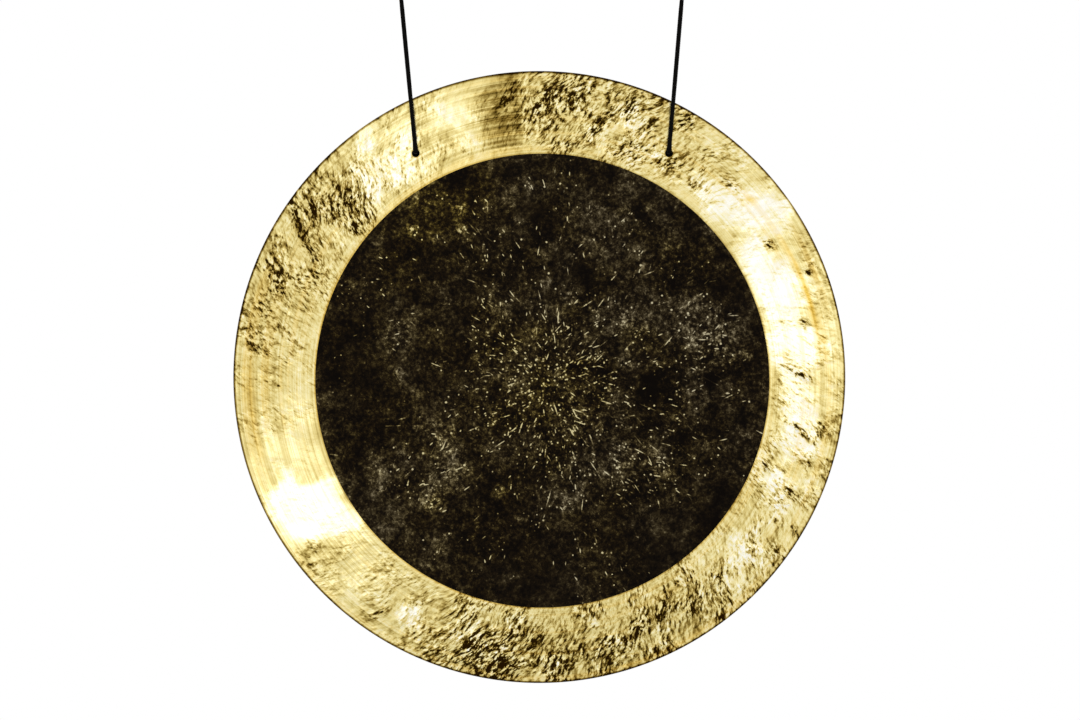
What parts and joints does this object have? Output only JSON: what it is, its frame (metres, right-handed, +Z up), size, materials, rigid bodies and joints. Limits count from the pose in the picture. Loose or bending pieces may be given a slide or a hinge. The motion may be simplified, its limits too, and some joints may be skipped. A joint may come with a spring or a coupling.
{
  "type": "wind gong",
  "caption": "Large flat round gong with a bright turned band round a dark raw centre, hanging on knotted black cords.",
  "frame": {"origin": "middle of the hanging line: level with the seats of the two cord eyes and straight above the middle of the two cord holes", "axes": "+Z up, against the pull of the hanging gong; -Y is the front, which the player strikes and the picture shows; +X to the right as seen from the front"},
  "size_m": [0.61, 0.0269, 0.7437],
  "materials": {
    "gong_bronze": "satin",
    "cord_nylon": "matte"
  },
  "bodies": {
    "eyes": {"left_eye": "cord_nylon", "left_eye_knot": "cord_nylon", "right_eye": "cord_nylon", "right_eye_knot": "cord_nylon"},
    "cords": {"left_cord": "cord_nylon", "right_cord": "cord_nylon"},
    "gong": {"gong_disc": "gong_bronze", "left_stopper_knot": "cord_nylon", "right_stopper_knot": "cord_nylon"}
  },
  "joints": [
    {"name": "cord_swing", "type": "hinge", "parent": "eyes", "child": "cords", "pos_m": [0, 0, -0.052], "axis": [1, 0, 0], "range_deg": [-25, 25]},
    {"name": "gong_rock", "type": "hinge", "parent": "cords", "child": "gong", "pos_m": [0, 0, -0.2102], "axis": [1, 0, 0], "range_deg": [-25, 4]}
  ]
}
